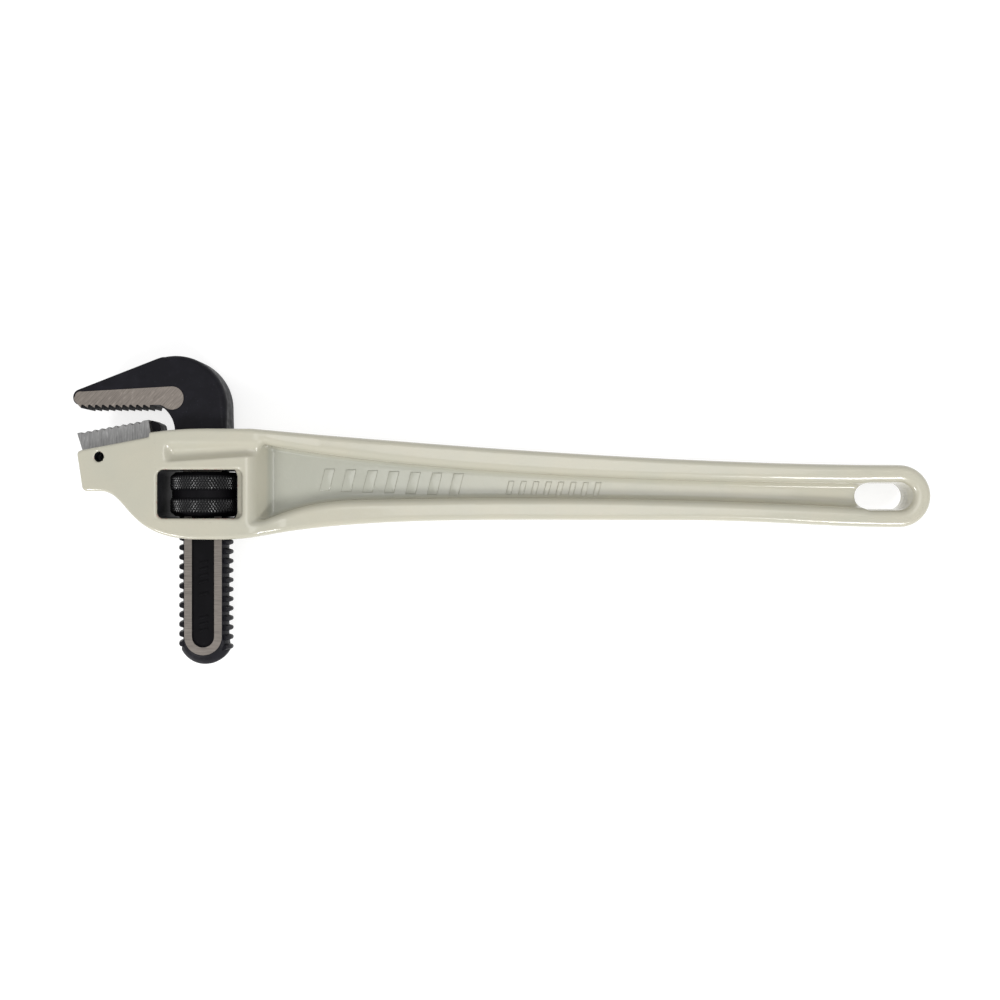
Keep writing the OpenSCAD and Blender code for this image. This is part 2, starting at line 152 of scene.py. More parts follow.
def smooth(piece, angle=30):
    """Smooth shading, with edges sharper than the angle kept crisp."""
    mesh = piece.data
    mesh.polygons.foreach_set("use_smooth", np.ones(len(mesh.polygons), bool))
    mesh.set_sharp_from_angle(angle=math.radians(angle))
    return piece


def paint(piece, *materials):
    """Puts the finishes in the piece's slots, in the order of its faces' material numbers."""
    for number, m in enumerate(materials):
        if number < len(piece.data.materials):
            piece.data.materials[number] = m
        else:
            piece.data.materials.append(m)
    return piece


def mark(piece, name, levels):
    """Stores a level from 0 to 1 at every vertex, which a finish reads by its name."""
    layer = piece.data.attributes.new(name, "FLOAT", "POINT")
    layer.data.foreach_set("value", np.clip(levels, 0, 1).astype(np.float32))
    return piece


def as_shown(piece):
    """Gives the piece the plain mesh that its modifiers make, and drops them."""
    seen = piece.evaluated_get(bpy.context.evaluated_depsgraph_get())
    mesh = bpy.data.meshes.new_from_object(seen)
    piece.modifiers.clear()
    piece.data = mesh
    return piece


# ---------------------------------------------------------------- solids drawn by distance

def round_and(a, b, r):
    """Where both shapes are, with the edge between them rounded to radius r."""
    inner = np.minimum(np.maximum(a, b), -r)
    return inner + np.hypot(np.maximum(r + a, 0), np.maximum(r + b, 0))


def round_or(a, b, r):
    """Either shape, with a fillet of radius r where they meet."""
    return -round_and(-a, -b, r)


def polygon_distance(x, y, poly):
    """Distance to a closed outline, negative inside it."""
    shape = np.broadcast(x, y).shape
    px = np.broadcast_to(x, shape).ravel()
    py = np.broadcast_to(y, shape).ravel()
    best = np.full(px.size, 1e9)
    inside = np.zeros(px.size, bool)
    for (ax, ay), (bx, by) in zip(poly, np.roll(poly, -1, axis=0)):
        ex, ey = bx - ax, by - ay
        length = ex * ex + ey * ey
        if length < 1e-12:
            continue
        wx, wy = px - ax, py - ay
        t = np.clip((wx * ex + wy * ey) / length, 0, 1)
        best = np.minimum(best, (wx - t * ex) ** 2 + (wy - t * ey) ** 2)
        crosses = (ay > py) != (by > py)
        inside ^= crosses & (px < ex * (py - ay) / (ey if ey else 1) + ax)
    return (np.sqrt(best) * np.where(inside, -1, 1)).reshape(shape)


def box_distance(x, y, low, high, r=0.0):
    """Distance to a rectangle with corners rounded to r, negative inside it."""
    qx = np.abs(x - (low[0] + high[0]) / 2) - (high[0] - low[0]) / 2 + r
    qy = np.abs(y - (low[1] + high[1]) / 2) - (high[1] - low[1]) / 2 + r
    return np.hypot(np.maximum(qx, 0), np.maximum(qy, 0)) + np.minimum(np.maximum(qx, qy), 0) - r


def ease(x, a, b):
    """0 at a, 1 at b, smooth between."""
    t = np.clip((x - a) / (b - a), 0, 1)
    return t * t * (3 - 2 * t)


def net_of(values, axes):
    """Vertices and quads of the zero surface of a field sampled on a grid, one vertex a cell."""
    nx, ny, nz = (n - 1 for n in values.shape)
    inside = values < 0
    total = np.zeros((nx, ny, nz, 3))
    count = np.zeros((nx, ny, nz))

    def corner(array, offset):
        return array[offset[0]:offset[0] + nx, offset[1]:offset[1] + ny, offset[2]:offset[2] + nz]

    for axis in range(3):
        for da in (0, 1):
            for db in (0, 1):
                low = [0, 0, 0]
                low[(axis + 1) % 3], low[(axis + 2) % 3] = da, db
                high = list(low)
                high[axis] = 1
                a, b = corner(values, low), corner(values, high)
                cut = corner(inside, low) != corner(inside, high)
                t = np.where(cut, a / np.where(cut, a - b, 1), 0)
                for k in range(3):
                    line = axes[k]
                    n = (nx, ny, nz)[k]
                    shape = [1, 1, 1]
                    shape[k] = n
                    first = line[low[k]:low[k] + n].reshape(shape)
                    if k == axis:
                        step = (line[1:] - line[:-1]).reshape(shape)
                        total[..., k] += np.where(cut, first + t * step, 0)
                    else:
                        total[..., k] += np.where(cut, first, 0)
                count += cut
    used = count > 0
    index = np.full((nx, ny, nz), -1)
    index[used] = np.arange(used.sum())
    points = total[used] / count[used][:, None]
    quads = []
    for axis in range(3):
        b, c = (axis + 1) % 3, (axis + 2) % 3
        low = [slice(1, -1)] * 3
        low[axis] = slice(0, -1)
        high = list(low)
        high[axis] = slice(1, None)
        cut = inside[tuple(low)] != inside[tuple(high)]
        place = np.argwhere(cut)
        offset = np.ones(3, int)
        offset[axis] = 0
        cell = place + offset
        around = []
        for sb, sc in ((-1, -1), (0, -1), (0, 0), (-1, 0)):
            at = cell.copy()
            at[:, b] += sb
            at[:, c] += sc
            around.append(index[at[:, 0], at[:, 1], at[:, 2]])
        quad = np.stack(around, 1)
        starts_inside = inside[tuple(low)][cut]
        quad[~starts_inside] = quad[~starts_inside][:, ::-1]
        quads.append(quad)
    return points, np.concatenate(quads)


def settle(points, quads, field, rounds=3, spread=0.4):
    """Evens out the vertices along the surface and puts each on it exactly."""
    e = 0.02
    links = np.concatenate([quads[:, [i, (i + 1) % 4]] for i in range(4)])
    links = np.concatenate([links, links[:, ::-1]])
    degree = np.bincount(links[:, 0], minlength=len(points))[:, None]
    for turn in range(rounds):
        if turn:
            mean = np.stack([np.bincount(links[:, 0], points[links[:, 1], k], len(points))
                             for k in range(3)], 1) / degree
            points = points + spread * (mean - points)
        for _ in range(2):
            f = field(points)
            slope = np.stack([field(points + e * np.eye(3)[k]) - f for k in range(3)], 1) / e
            size = np.maximum((slope ** 2).sum(1), 0.2)
            points = points - (np.clip(f, -0.6, 0.6) / size)[:, None] * slope
    return points


# ---------------------------------------------------------------- handle casting

def casting_outline():
    """The casting in plan, clockwise from the tip of the nose."""
    nose = SEAT_START - (0.5, 0)
    toe = nose + (3, -18.5)
    belly = np.array([-0.4, HOUSING_BOTTOM])
    shoulder = SEAT_START + (HEEL_LEN + 1.2) * SEAT_DIR
    end = HANDLE_END
    return outline(
        curve(nose + (0.5, -2.8), nose + (0.2, -0.6), nose + (0.9, 0.1), nose + (2.8, 0.5), 6),
        shoulder, shoulder + (0.3, 2.3),
        curve(shoulder + (0.3, 2.3), shoulder + (10, 3.7), (-6, HOUSING_TOP - 0.1), (5, HOUSING_TOP), 8),
        (28, HOUSING_TOP),
        curve((28, HOUSING_TOP), (115, HOUSING_TOP - 7.3), (end - 133, EYE[1] + EYE_R),
              EYE + (0, EYE_R), 40),
        arc(EYE, EYE_R, 87, -90, 36),
        curve(EYE - (0, EYE_R), EYE - (41, EYE_R), (end - 83, GRIP_BOTTOM), (end - 133, GRIP_BOTTOM), 14),
        curve((end - 133, GRIP_BOTTOM), (end - 233, GRIP_BOTTOM), (85, HOUSING_BOTTOM + 12.0),
              (28, HOUSING_BOTTOM + 0.9), 30),
        curve((28, HOUSING_BOTTOM + 0.9), (18, HOUSING_BOTTOM - 0.5), (10, HOUSING_BOTTOM), belly, 6),
        curve(belly, belly - (18, -0.3), belly + (-28, 6.5), toe + (25, -13), 14),
        curve(toe + (25, -13), toe + (19, -6), toe + (16, -2.6), toe + (10, -2.4), 10),
        arc(toe + (2.6, 0.2), 2.6, 270, 188, 6))


def web_outline():
    """Where the web is sunk between the flanges, from the window's face to the hang hole."""
    left = WINDOW_RIGHT + 6
    end = EYE[0] - HOLE_RUN
    return outline(
        (left, -13.5), (34, -13.2), curve((34, -13.2), (40, -11), (52, -4.2), (78, -3), 12),
        curve((78, -3), (170, -0.6), (EYE[0] - 96, -2.4), (end, EYE[1] - HOLE_R + 0.6), 24),
        (end, EYE[1] + HOLE_R - 0.3),
        curve((end, EYE[1] + HOLE_R - 0.3), (EYE[0] - 136, 6.4), (112, 11.8), (38, 25), 30),
        (34, 26), (left, 22))


OUTLINE = casting_outline()
WEB = web_outline()


def casting_plan(x, y):
    """Everything about the casting that depends on the plan alone."""
    hole = box_distance(x, y, EYE - (HOLE_RUN + HOLE_R, HOLE_R), EYE + (HOLE_R, HOLE_R), HOLE_R)
    boss = (np.interp(x, [-64, -22, 46, 150], [NOSE_HALF, HOUSING_HALF, HOUSING_HALF, HOUSING_HALF - 1.5])
            - (HOUSING_HALF - FLANGE_ROOT_HALF) * ease(x, 26, 46))
    rail = np.interp(x, [-64, -22, -12, 36, 62, 150, 400],
                     [NOSE_HALF, HOUSING_HALF, HOUSING_HALF, 16.4, FLANGE_ROOT_HALF,
                      FLANGE_HALF, FLANGE_HALF])
    # The rail over the window dips into a trough, which ends in a steep step up to the window's face
    edge = 16.3 + 3.0 * np.clip((x + 17) / 43, 0, 1)
    step = np.clip((edge + STEP_RUN - y) / STEP_RUN, 0, 1) ** 1.7
    trough = TROUGH_DEPTH * ease(x, -17, -12.5) * ease(x, 34, 27) * ease(y, 28, 20) * (1 - step)
    crest = np.where(y < edge, boss, rail + (boss - rail) * step - trough)
    right = ease(x, 10, WINDOW_RIGHT + 1)
    return {
        "out": polygon_distance(x, y, OUTLINE),
        "web": np.minimum(polygon_distance(x, y, WEB), hole),
        "hole": hole,
        "window": box_distance(x, y, (WINDOW_LEFT, -WINDOW_HALF_H), (WINDOW_RIGHT, WINDOW_HALF_H),
                               WINDOW_CORNER),
        "throat": box_distance(x, y, (WINDOW_LEFT, -WINDOW_HALF_H), (LEAN_END, WINDOW_HALF_H),
                               WINDOW_CORNER),
        "rim": 1.4 + 0.8 * right,
        "crest": crest,
        # The web's own plate, and the slope that climbs from it to the window's face
        "slope": WEB_HALF + (HOUSING_HALF - WEB_HALF - 5.2) * ease(x, 36.4, 29.6),
        "rounding": np.interp(x, [-50, 0, 24, 60], [1.3, 1.7, 2.4, 3.0]),
        "u": (x - SEAT_START[0]) * SEAT_DIR[0] + (y - SEAT_START[1]) * SEAT_DIR[1],
        "v": (x - SEAT_START[0]) * SEAT_UP[0] + (y - SEAT_START[1]) * SEAT_UP[1],
        "pin": np.hypot(x - HEEL_PIN[0], y - HEEL_PIN[1]) - HEEL_PIN_R,
        "x": x, "y": y}


def casting_cuts(plan, z):
    """The machined slots: the shank's with its flared mouth, the heel jaw's and the springs'."""
    x, y, u, v = plan["x"], plan["y"], plan["u"], plan["v"]
    flare = np.clip(y - (HOUSING_TOP - 2.5), 0, 4)
    slot = np.maximum(np.abs(x) - SLOT_HALF_X - flare, np.abs(z) - SLOT_HALF_Z)
    recess = np.maximum(np.maximum(np.abs(x - SLOT_HALF_X) - 3.2, np.abs(z) - 5.6),
                        np.abs(y - (WINDOW_HALF_H + HOUSING_TOP - 0.4) / 2) - 9.5)
    wide = np.where(u > HEEL_LEN + 0.3, TAIL_HALF, JAW_HALF) + 0.15
    seat = np.maximum(np.maximum(-v, np.abs(z) - wide), u - HEEL_LEN - HEEL_TAIL - 0.2)
    tongue = np.maximum(np.maximum(np.abs(u - 19.5) - 13.6, np.abs(z) - 6.1), np.abs(v + 6) - 7.2)
    return slot, recess, np.minimum(seat, tongue)


def casting_field(plan, z):
    """Distance to the casting's surface, negative in the metal."""
    az = np.abs(z)
    face = az - plan["crest"]
    rail = round_and(face, -plan["web"], 4.2)
    body = round_or(rail, (az - plan["slope"]) * 0.62, 2.6)
    body = round_and(body, plan["out"], plan["rounding"])
    body = round_and(body, -plan["hole"], 1.6)
    # The window's right wall leans in toward the nut
    depth = ease(az, 17.5, 12.5)
    window = plan["window"] + depth * (plan["throat"] - plan["window"])
    body = round_and(body, -window, plan["rim"])
    slot, recess, seat = casting_cuts(plan, z)
    body = round_and(body, -slot, 0.8)
    body = np.maximum(body, -recess)
    body = round_and(body, -seat, 0.5)
    return round_and(body, -plan["pin"], 0.35)


def grid_lines():
    """Grid planes along the handle: close in the head and the eye, wide apart along the grip."""
    x = [GRID_START]
    while x[-1] < HANDLE_END + 3:
        at = x[-1]
        on_grip = float(ease(at, 46, 80) * (1 - ease(at, HANDLE_END - 60, HANDLE_END - 36)))
        x.append(at + CELL + 1.4 * on_grip)
    y = np.arange(HOUSING_BOTTOM - 2.2, HOUSING_TOP + 2.6, CELL)
    z = np.arange(-HOUSING_HALF - 1.9, HOUSING_HALF + 2.0, CELL)
    return np.array(x), y, z


def cast_handle():
    """The painted casting: housing, nut window, I-beam handle and hang eye."""
    x, y, z = grid_lines()
    plan = casting_plan(x[:, None, None], y[None, :, None])
    points, quads = net_of(casting_field(plan, z[None, None, :]), (x, y, z))

    def field(p):
        return casting_field(casting_plan(p[:, 0], p[:, 1]), p[:, 2])

    points = settle(points, quads, field)
    return mark(shell("handle_casting", points, quads), "painted_shade_and_chips", shade_and_chip_levels(points))


def shade_and_chip_levels(points):
    """How much painted shade and chipping the casting gets: 1 in the window and the machined slots, where
    the enamel is painted near-black as shade, less on the rim, where the chips go.
    """
    plan = casting_plan(points[:, 0], points[:, 1])
    slot, _, seat = casting_cuts(plan, points[:, 2])
    in_window = 1 - np.maximum(plan["window"], 0) / (0.55 * plan["rim"])
    on_lean = ease(plan["x"], LEAN_END, LEAN_END + 1) * ease(np.abs(points[:, 2]), 13.5, 14.5)
    in_window = in_window * (1 - 0.75 * on_lean)
    near = np.where(plan["window"] < 1.5, 1.1, 0.25)
    machined = np.minimum(np.minimum(np.abs(slot), np.abs(seat)), np.abs(plan["pin"]))
    return np.maximum(in_window, np.where(machined < near, 1, 0))


def mark_sunk(piece):
    """Marks the web and what is raised on it, where the enamel is painted a little darker and greyer as
    shade from the flanges.
    """
    points = np.empty(3 * len(piece.data.vertices), np.float32)
    piece.data.vertices.foreach_get("co", points)
    x, y, z = ((points.reshape(-1, 3) - HEAD) / MM).T
    level = ease(np.abs(z), WEB_HALF + 5, WEB_HALF + 1) * ease(casting_plan(x, y)["web"], 0.5, -2)
    return mark(piece, "sunk", level * np.interp(x, [110, 260], [1, 0]))


# ---------------------------------------------------------------- slabs, turnings and repeats

def inward(points):
    """At each corner of a counter-clockwise outline, the step that moves both its sides in by 1."""
    ahead = np.roll(points, -1, 0) - points
    ahead /= np.linalg.norm(ahead, axis=1)[:, None]
    left = np.stack([-ahead[:, 1], ahead[:, 0]], 1)
    both = left + np.roll(left, 1, 0)
    both /= np.linalg.norm(both, axis=1)[:, None]
    return both / np.maximum((both * left).sum(1), 0.5)[:, None]


def rounded(half, rim, steps=4):
    """Heights and insets of a slab's rings when its edges are rounded to rim."""
    q = np.linspace(0, np.pi / 2, steps + 1)
    up = [(half - rim + rim * np.sin(a), rim * (1 - np.cos(a))) for a in q]
    return [(-z, inset) for z, inset in up[::-1]] + up


def slab(points, rings, wall=0, caps=0):
    """Vertices, faces and material numbers of a slab on an outline; rings are (height, inset)."""
    points = np.asarray(points, float)
    keep = np.linalg.norm(points - np.roll(points, 1, 0), axis=1) > 1e-4
    rings = [[np.broadcast_to(v, len(points))[keep] for v in ring] for ring in rings]
    points = points[keep]
    ahead = np.roll(points, -1, 0)
    if (points[:, 0] * ahead[:, 1] - ahead[:, 0] * points[:, 1]).sum() < 0:
        points = points[::-1]
        rings = [[v[::-1] for v in ring] for ring in rings]
    step = inward(points)
    return stacked([np.column_stack([points + inset[:, None] * step, z]) for z, inset in rings], wall, caps)


def stacked(rings, wall=0, caps=0):
    """Vertices, faces and material numbers of a skin over rings of points, capped at each end."""
    n = len(rings[0])
    faces = [(r * n + i, r * n + (i + 1) % n, (r + 1) * n + (i + 1) % n, (r + 1) * n + i)
             for r in range(len(rings) - 1) for i in range(n)]
    top = (len(rings) - 1) * n
    return (np.concatenate(rings), faces + [list(range(n))[::-1], [top + i for i in range(n)]],
            [wall] * len(faces) + [caps] * 2)


def turned(profile, count):
    """Vertices and faces of a ring turned about the screw's axis from (radius, height) corners."""
    profile = np.asarray(profile, float)
    m = len(profile)
    q = 2 * np.pi * np.arange(count) / count
    vertices = np.concatenate([np.column_stack([profile[:, 0] * np.cos(a), profile[:, 1],
                                                -profile[:, 0] * np.sin(a)]) for a in q])
    faces = [(i * m + j, i * m + (j + 1) % m, (i + 1) % count * m + (j + 1) % m, (i + 1) % count * m + j)
             for i in range(count) for j in range(m)]
    return vertices, faces


def helix(profile, first, last, steps, hand=1):
    """Vertices and faces of a ridge that winds up the screw; profile gives (radius, height) corners."""
    profile = np.asarray(profile, float)
    m = len(profile)
    q = np.radians(np.linspace(first, last, steps + 1))
    vertices = np.concatenate([np.column_stack([
        profile[:, 0] * np.cos(a), profile[:, 1] + hand * THREAD_PITCH * a / (2 * np.pi),
        -profile[:, 0] * np.sin(a)]) for a in q])
    faces = [(i * m + j, i * m + (j + 1) % m, (i + 1) * m + (j + 1) % m, (i + 1) * m + j)
             for i in range(steps) for j in range(m)]
    return vertices, faces + [list(range(m))[::-1], [steps * m + j for j in range(m)]]


def facing_out(mesh):
    """Turns every face of the mesh outward."""
    b = bmesh.new()
    b.from_mesh(mesh)
    bmesh.ops.recalc_face_normals(b, faces=b.faces)
    b.to_mesh(mesh)
    b.free()


def solid(name, vertices, faces, indices=None):
    """A closed piece with every face turned outward."""
    piece = shell(name, vertices, faces, indices)
    facing_out(piece.data)
    return piece


def repeat_group():
    """Copies of the incoming geometry at even steps along the screw, each turned a little further."""
    group = bpy.data.node_groups.new("repeat_on_screw", "GeometryNodeTree")
    sockets = group.interface
    sockets.new_socket("Geometry", in_out="INPUT", socket_type="NodeSocketGeometry")
    sockets.new_socket("Count", in_out="INPUT", socket_type="NodeSocketInt")
    sockets.new_socket("Start", in_out="INPUT", socket_type="NodeSocketVector")
    sockets.new_socket("Step", in_out="INPUT", socket_type="NodeSocketVector")
    sockets.new_socket("Turn", in_out="INPUT", socket_type="NodeSocketFloat")
    sockets.new_socket("Material", in_out="INPUT", socket_type="NodeSocketMaterial")
    sockets.new_socket("Geometry", in_out="OUTPUT", socket_type="NodeSocketGeometry")
    add, join = group.nodes.new, group.links.new
    given, result = add("NodeGroupInput"), add("NodeGroupOutput")
    line, copies = add("GeometryNodeMeshLine"), add("GeometryNodeInstanceOnPoints")
    number, turn, angles = add("GeometryNodeInputIndex"), add("ShaderNodeMath"), add("ShaderNodeCombineXYZ")
    turn.operation = "MULTIPLY"
    realise, finish = add("GeometryNodeRealizeInstances"), add("GeometryNodeSetMaterial")
    join(given.outputs["Count"], line.inputs["Count"])
    join(given.outputs["Start"], line.inputs["Start Location"])
    join(given.outputs["Step"], line.inputs["Offset"])
    join(line.outputs["Mesh"], copies.inputs["Points"])
    join(given.outputs["Geometry"], copies.inputs["Instance"])
    join(number.outputs["Index"], turn.inputs[0])
    join(given.outputs["Turn"], turn.inputs[1])
    join(turn.outputs["Value"], angles.inputs["Y"])
    join(angles.outputs["Vector"], copies.inputs["Rotation"])
    join(copies.outputs["Instances"], realise.inputs["Geometry"])
    join(realise.outputs["Geometry"], finish.inputs["Geometry"])
    join(given.outputs["Material"], finish.inputs["Material"])
    join(finish.outputs["Geometry"], result.inputs["Geometry"])
    return group


def repeated(name, vertices, faces, material, *runs):
    """A mesh of one small shape repeated along the screw; each run is (count, start, step, turn)."""
    group = bpy.data.node_groups.get("repeat_on_screw") or repeat_group()
    mesh = bpy.data.meshes.new(name)
    mesh.from_pydata((np.asarray(vertices) * MM).tolist(), [], [list(map(int, f)) for f in faces])
    mesh.materials.append(material)
    facing_out(mesh)
    for number, (count, start, step, turn) in enumerate(runs):
        piece = in_scene(name, mesh)
        modifier = piece.modifiers.new("repeat", "NODES")
        modifier.node_group = group
        # Only the last run moves the copies from the screw's own axis to their place on the head
        last = number == len(runs) - 1
        at = Vector((0, start * MM, 0)) + (Vector(HEAD) if last else Vector())
        values = {"Count": count, "Start": at, "Step": (0, step * MM, 0), "Turn": turn,
                  "Material": material}
        for item in group.interface.items_tree:
            if item.in_out == "INPUT" and item.name in values:
                modifier[item.identifier] = values[item.name]
        piece.update_tag()
        bpy.context.view_layer.update()
        seen = piece.evaluated_get(bpy.context.evaluated_depsgraph_get())
        mesh = bpy.data.meshes.new_from_object(seen)
        bpy.data.objects.remove(piece)
    return in_scene(name, mesh)


def joined(name, pieces):
    """One mesh from several, each keeping its own materials."""
    b = bmesh.new()
    materials = []
    for piece in pieces:
        start = len(b.faces)
        b.from_mesh(piece.data)
        b.faces.ensure_lookup_table()
        places = []
        for m in piece.data.materials:
            if m not in materials:
                materials.append(m)
            places.append(materials.index(m))
        for face in b.faces[start:]:
            face.material_index = places[face.material_index] if places else 0
    mesh = bpy.data.meshes.new(name)
    b.to_mesh(mesh)
    b.free()
    for m in materials:
        mesh.materials.append(m)
    for piece in pieces:
        bpy.data.objects.remove(piece)
    return in_scene(name, mesh)


def cut(piece, tool):
    """Takes the tool's shape out of the piece."""
    modifier = piece.modifiers.new("cut", "BOOLEAN")
    modifier.operation = "DIFFERENCE"
    modifier.object = tool
    modifier.solver = "EXACT"
    modifier.material_mode = "TRANSFER"
    as_shown(piece)
    bpy.data.objects.remove(tool)
    return piece


def even_shading(piece, angle=32):
    """Smooth shading weighted by face area, so that flats stay flat beside their rounded edges."""
    smooth(piece, angle)
    modifier = piece.modifiers.new("shading", "WEIGHTED_NORMAL")
    modifier.keep_sharp = True
    modifier.weight = 50
    return as_shown(piece)


# ---------------------------------------------------------------- jaws, nut and pin

BACK_R = 26.9
BACK = np.array([-14.1, TOOTH_LINE + 0.9])
TIP_R = 4.4
TIP = np.array([SEAT_START[0] - 0.5, TOOTH_LINE + 5.8])
THROAT = np.array([-NECK_HALF - 15.5, HOUSING_TOP - 0.96])
THROAT_R = 15.5
ROOT_LINE = TOOTH_LINE + HOOK_TOOTH_DEPTH
PAD_R = 6.2
PAD_END = np.array([-NECK_HALF - 1.2, TOOTH_LINE + 5.3])
PAD_HALF = JAW_HALF + 0.05
BLACK_HALF = JAW_HALF - 0.25
DOME_R = 14.2
DOME = np.array([0, SHANK_END + DOME_R])
PANEL_HALF = 5.9
PANEL_END = SHANK_END + 9.4 + PANEL_HALF


def head_points():
    """The hook's head in plan, from the back of the neck round the tip to the throat."""
    run = BACK - TIP
    lean = math.atan2(run[1], run[0]) + math.asin((BACK_R - TIP_R) / np.linalg.norm(run))
    up = 90 + math.degrees(lean)
    return outline(
        (BACK[0] + BACK_R, HOUSING_TOP - 14), arc(BACK, BACK_R, 0, up, 48), arc(TIP, TIP_R, up, 236, 14),
        (TIP[0] + 2, ROOT_LINE + 2.2), (-26, ROOT_LINE + 2.4), arc(THROAT, THROAT_R, 60, 2, 22),
        (-NECK_HALF, HOUSING_TOP - 14))


def pad_points():
    """The ground jaw face with its teeth, which lean toward the throat."""
    first = TIP[0] + 0.3
    teeth = []
    for i in range(HOOK_TEETH):
        x = first + JAW_PITCH * i
        teeth += [(x - JAW_PITCH + 0.9, ROOT_LINE), (x - 0.05, TOOTH_LINE), (x + 0.25, ROOT_LINE - 0.1)]
    right = PAD_END
    return outline(arc(right, PAD_R, -132, 92, 26), (TIP[0] + 1, TIP[1] + 3.0),
                   arc(TIP, TIP_R - 1.3, 100, 170, 7), arc(TIP, TIP_R - 0.6, 190, 232, 5), teeth[1:],
                   (-21.6, ROOT_LINE - 0.1))


def rack_tooth(side):
    """One thread tooth down an edge of the shank, cut off where the flats are."""
    reach = math.degrees(math.asin(SHANK_HALF / CREST_R))
    root = ROOT_R - 0.5
    flank = (THREAD_PITCH - TOOTH_CREST - GROOVE_ROOT) / 2
    foot = TOOTH_CREST / 2 + flank * 1.2
    tip = TOOTH_CREST / 2
    profile = [(root, -foot), (CREST_R - 0.5, -tip - 0.1), (CREST_R - 0.1, -tip + 0.3), (CREST_R, 0),
               (CREST_R - 0.1, tip - 0.3), (CREST_R - 0.5, tip + 0.1), (root, foot)]
    first, last = (-reach, reach) if side > 0 else (180 - reach, 180 + reach)
    vertices, faces = helix(profile, first, last, 12, -1)
    # The tooth's ends lie in the ground flats
    vertices[:, 2] = np.clip(vertices[:, 2], -SHANK_HALF, SHANK_HALF)
    return vertices, faces


def shank_core():
    """The threaded bar between its teeth: round edges, two ground flats and a domed end."""
    top = HOUSING_TOP - 15
    flat = math.sqrt(ROOT_R ** 2 - SHANK_HALF ** 2)
    step = DOME[1] - 6.4
    wide = outline((-ROOT_R, top), (-ROOT_R, step), arc(DOME, DOME_R, 208, 332, 40), (ROOT_R, step),
                   (ROOT_R, top))
    face = outline((-flat, top), (-flat, PANEL_END), arc((0, PANEL_END), flat, 180, 360, 40),
                   (flat, PANEL_END), (flat, top))
    # Down the sides the bar is round; round the end it is chamfered from the flat's own outline
    sides = wide[:, 1] >= step
    rings = []
    for q in np.radians(np.linspace(-90, 90, 17)):
        z = SHANK_HALF * math.sin(q)
        side = (ROOT_R - math.sqrt(ROOT_R ** 2 - z * z)) / (ROOT_R - flat)
        rise = max(abs(z) - 2.2, 0) / (SHANK_HALF - 2.2)
        share = np.where(sides, side, 0.45 * rise + 0.55 * (1 - math.sqrt(1 - min(rise, 1) ** 2)))
        rings.append(np.column_stack([wide + share[:, None] * (face - wide), np.full(len(wide), z)]))
    return solid("shank", *stacked(rings, 0, 1))


def panel_bars(material):
    """Plain slanted bars cast in the shank's panels."""
    bars = []
    for y in (-36, -39.4, -42.8, -46.2, -52.6, -65, -68.4, -71.8):
        bar = [(-2.4, y - 1.3), (2.4, y - 0.1), (2.4, y + 1.3), (-2.4, y + 0.1)]
        bars.append(paint(solid("panel_bar", *slab(bar, rounded(SHANK_HALF - 0.6, 0.35, 2))), material))
    return bars


def hook(materials):
    """The hook: head with its ground jaw face, neck, and the flat-sided threaded shank."""
    black, ground, flats = materials["black"], materials["pad"], materials["flat"]
    head = head_points()
    along = np.linalg.norm(head - BACK, axis=1)
    on_back = np.abs(along - BACK_R) < 0.1
    # The head's edge is rounded most round its back and least along the teeth
    rim = np.where(on_back & (head[:, 0] > -20), 2.6, 1.1)
    rim[head[:, 1] < ROOT_LINE + 3] = 0.9
    rim[on_back & (head[:, 0] > 0)] = 3.4
    plate = paint(solid("hook_head", *slab(head, rounded(BLACK_HALF, rim, 5))), black)
    pad = paint(solid("hook_pad", *slab(pad_points(), rounded(PAD_HALF, 0.12, 2), 1, 0)), ground, black)
    left, right = 0.1 - NECK_HALF, BACK[0] + BACK_R - 0.05
    neck = slab([(left, 15), (right, 15), (right, 40), (left, 40)], rounded(SHANK_HALF, 0.8, 3))
    neck = paint(solid("hook_neck", *neck), black)
    core = paint(shank_core(), black, flats)
    for side in (-1, 1):
        panel = outline((-PANEL_HALF, 8), arc((0, PANEL_END), PANEL_HALF, 180, 360, 20), (PANEL_HALF, 8))
        rings = [(SHANK_HALF - 1, 0.25), (SHANK_HALF - 0.8, 0), (SHANK_HALF + 1, 0)]
        tool = solid("panel", *slab(panel, [(side * z, inset) for z, inset in rings[::side]]))
        # The recess takes the nut's darker black: painted shade on what is the hook's own black finish
        cut(core, paint(tool, materials["nut"]))
    count = int((NUT_HALF_H - SHANK_END - 4.2) / THREAD_PITCH) - 1
    teeth = []
    # The thread reaches the left edge half a turn on, so its teeth stand half a pitch higher there
    for side, above in ((1, 2), (-1, 3)):
        vertices, faces = rack_tooth(side)
        low = -THREAD_PITCH * (count - above)
        tooth = repeated("rack_teeth", vertices, faces, black, (count, low, THREAD_PITCH, 0.0))
        tooth.data.materials.append(flats)
        ends = np.array([abs(p.normal.z) > 0.9 for p in tooth.data.polygons], np.int32)
        tooth.data.polygons.foreach_set("material_index", ends)
        teeth.append(tooth)
    # The panel's bars take the same darker black as painted shade
    parts = [plate, pad, neck, core] + teeth + panel_bars(materials["nut"])
    return even_shading(joined("hook_forging", parts), 34)


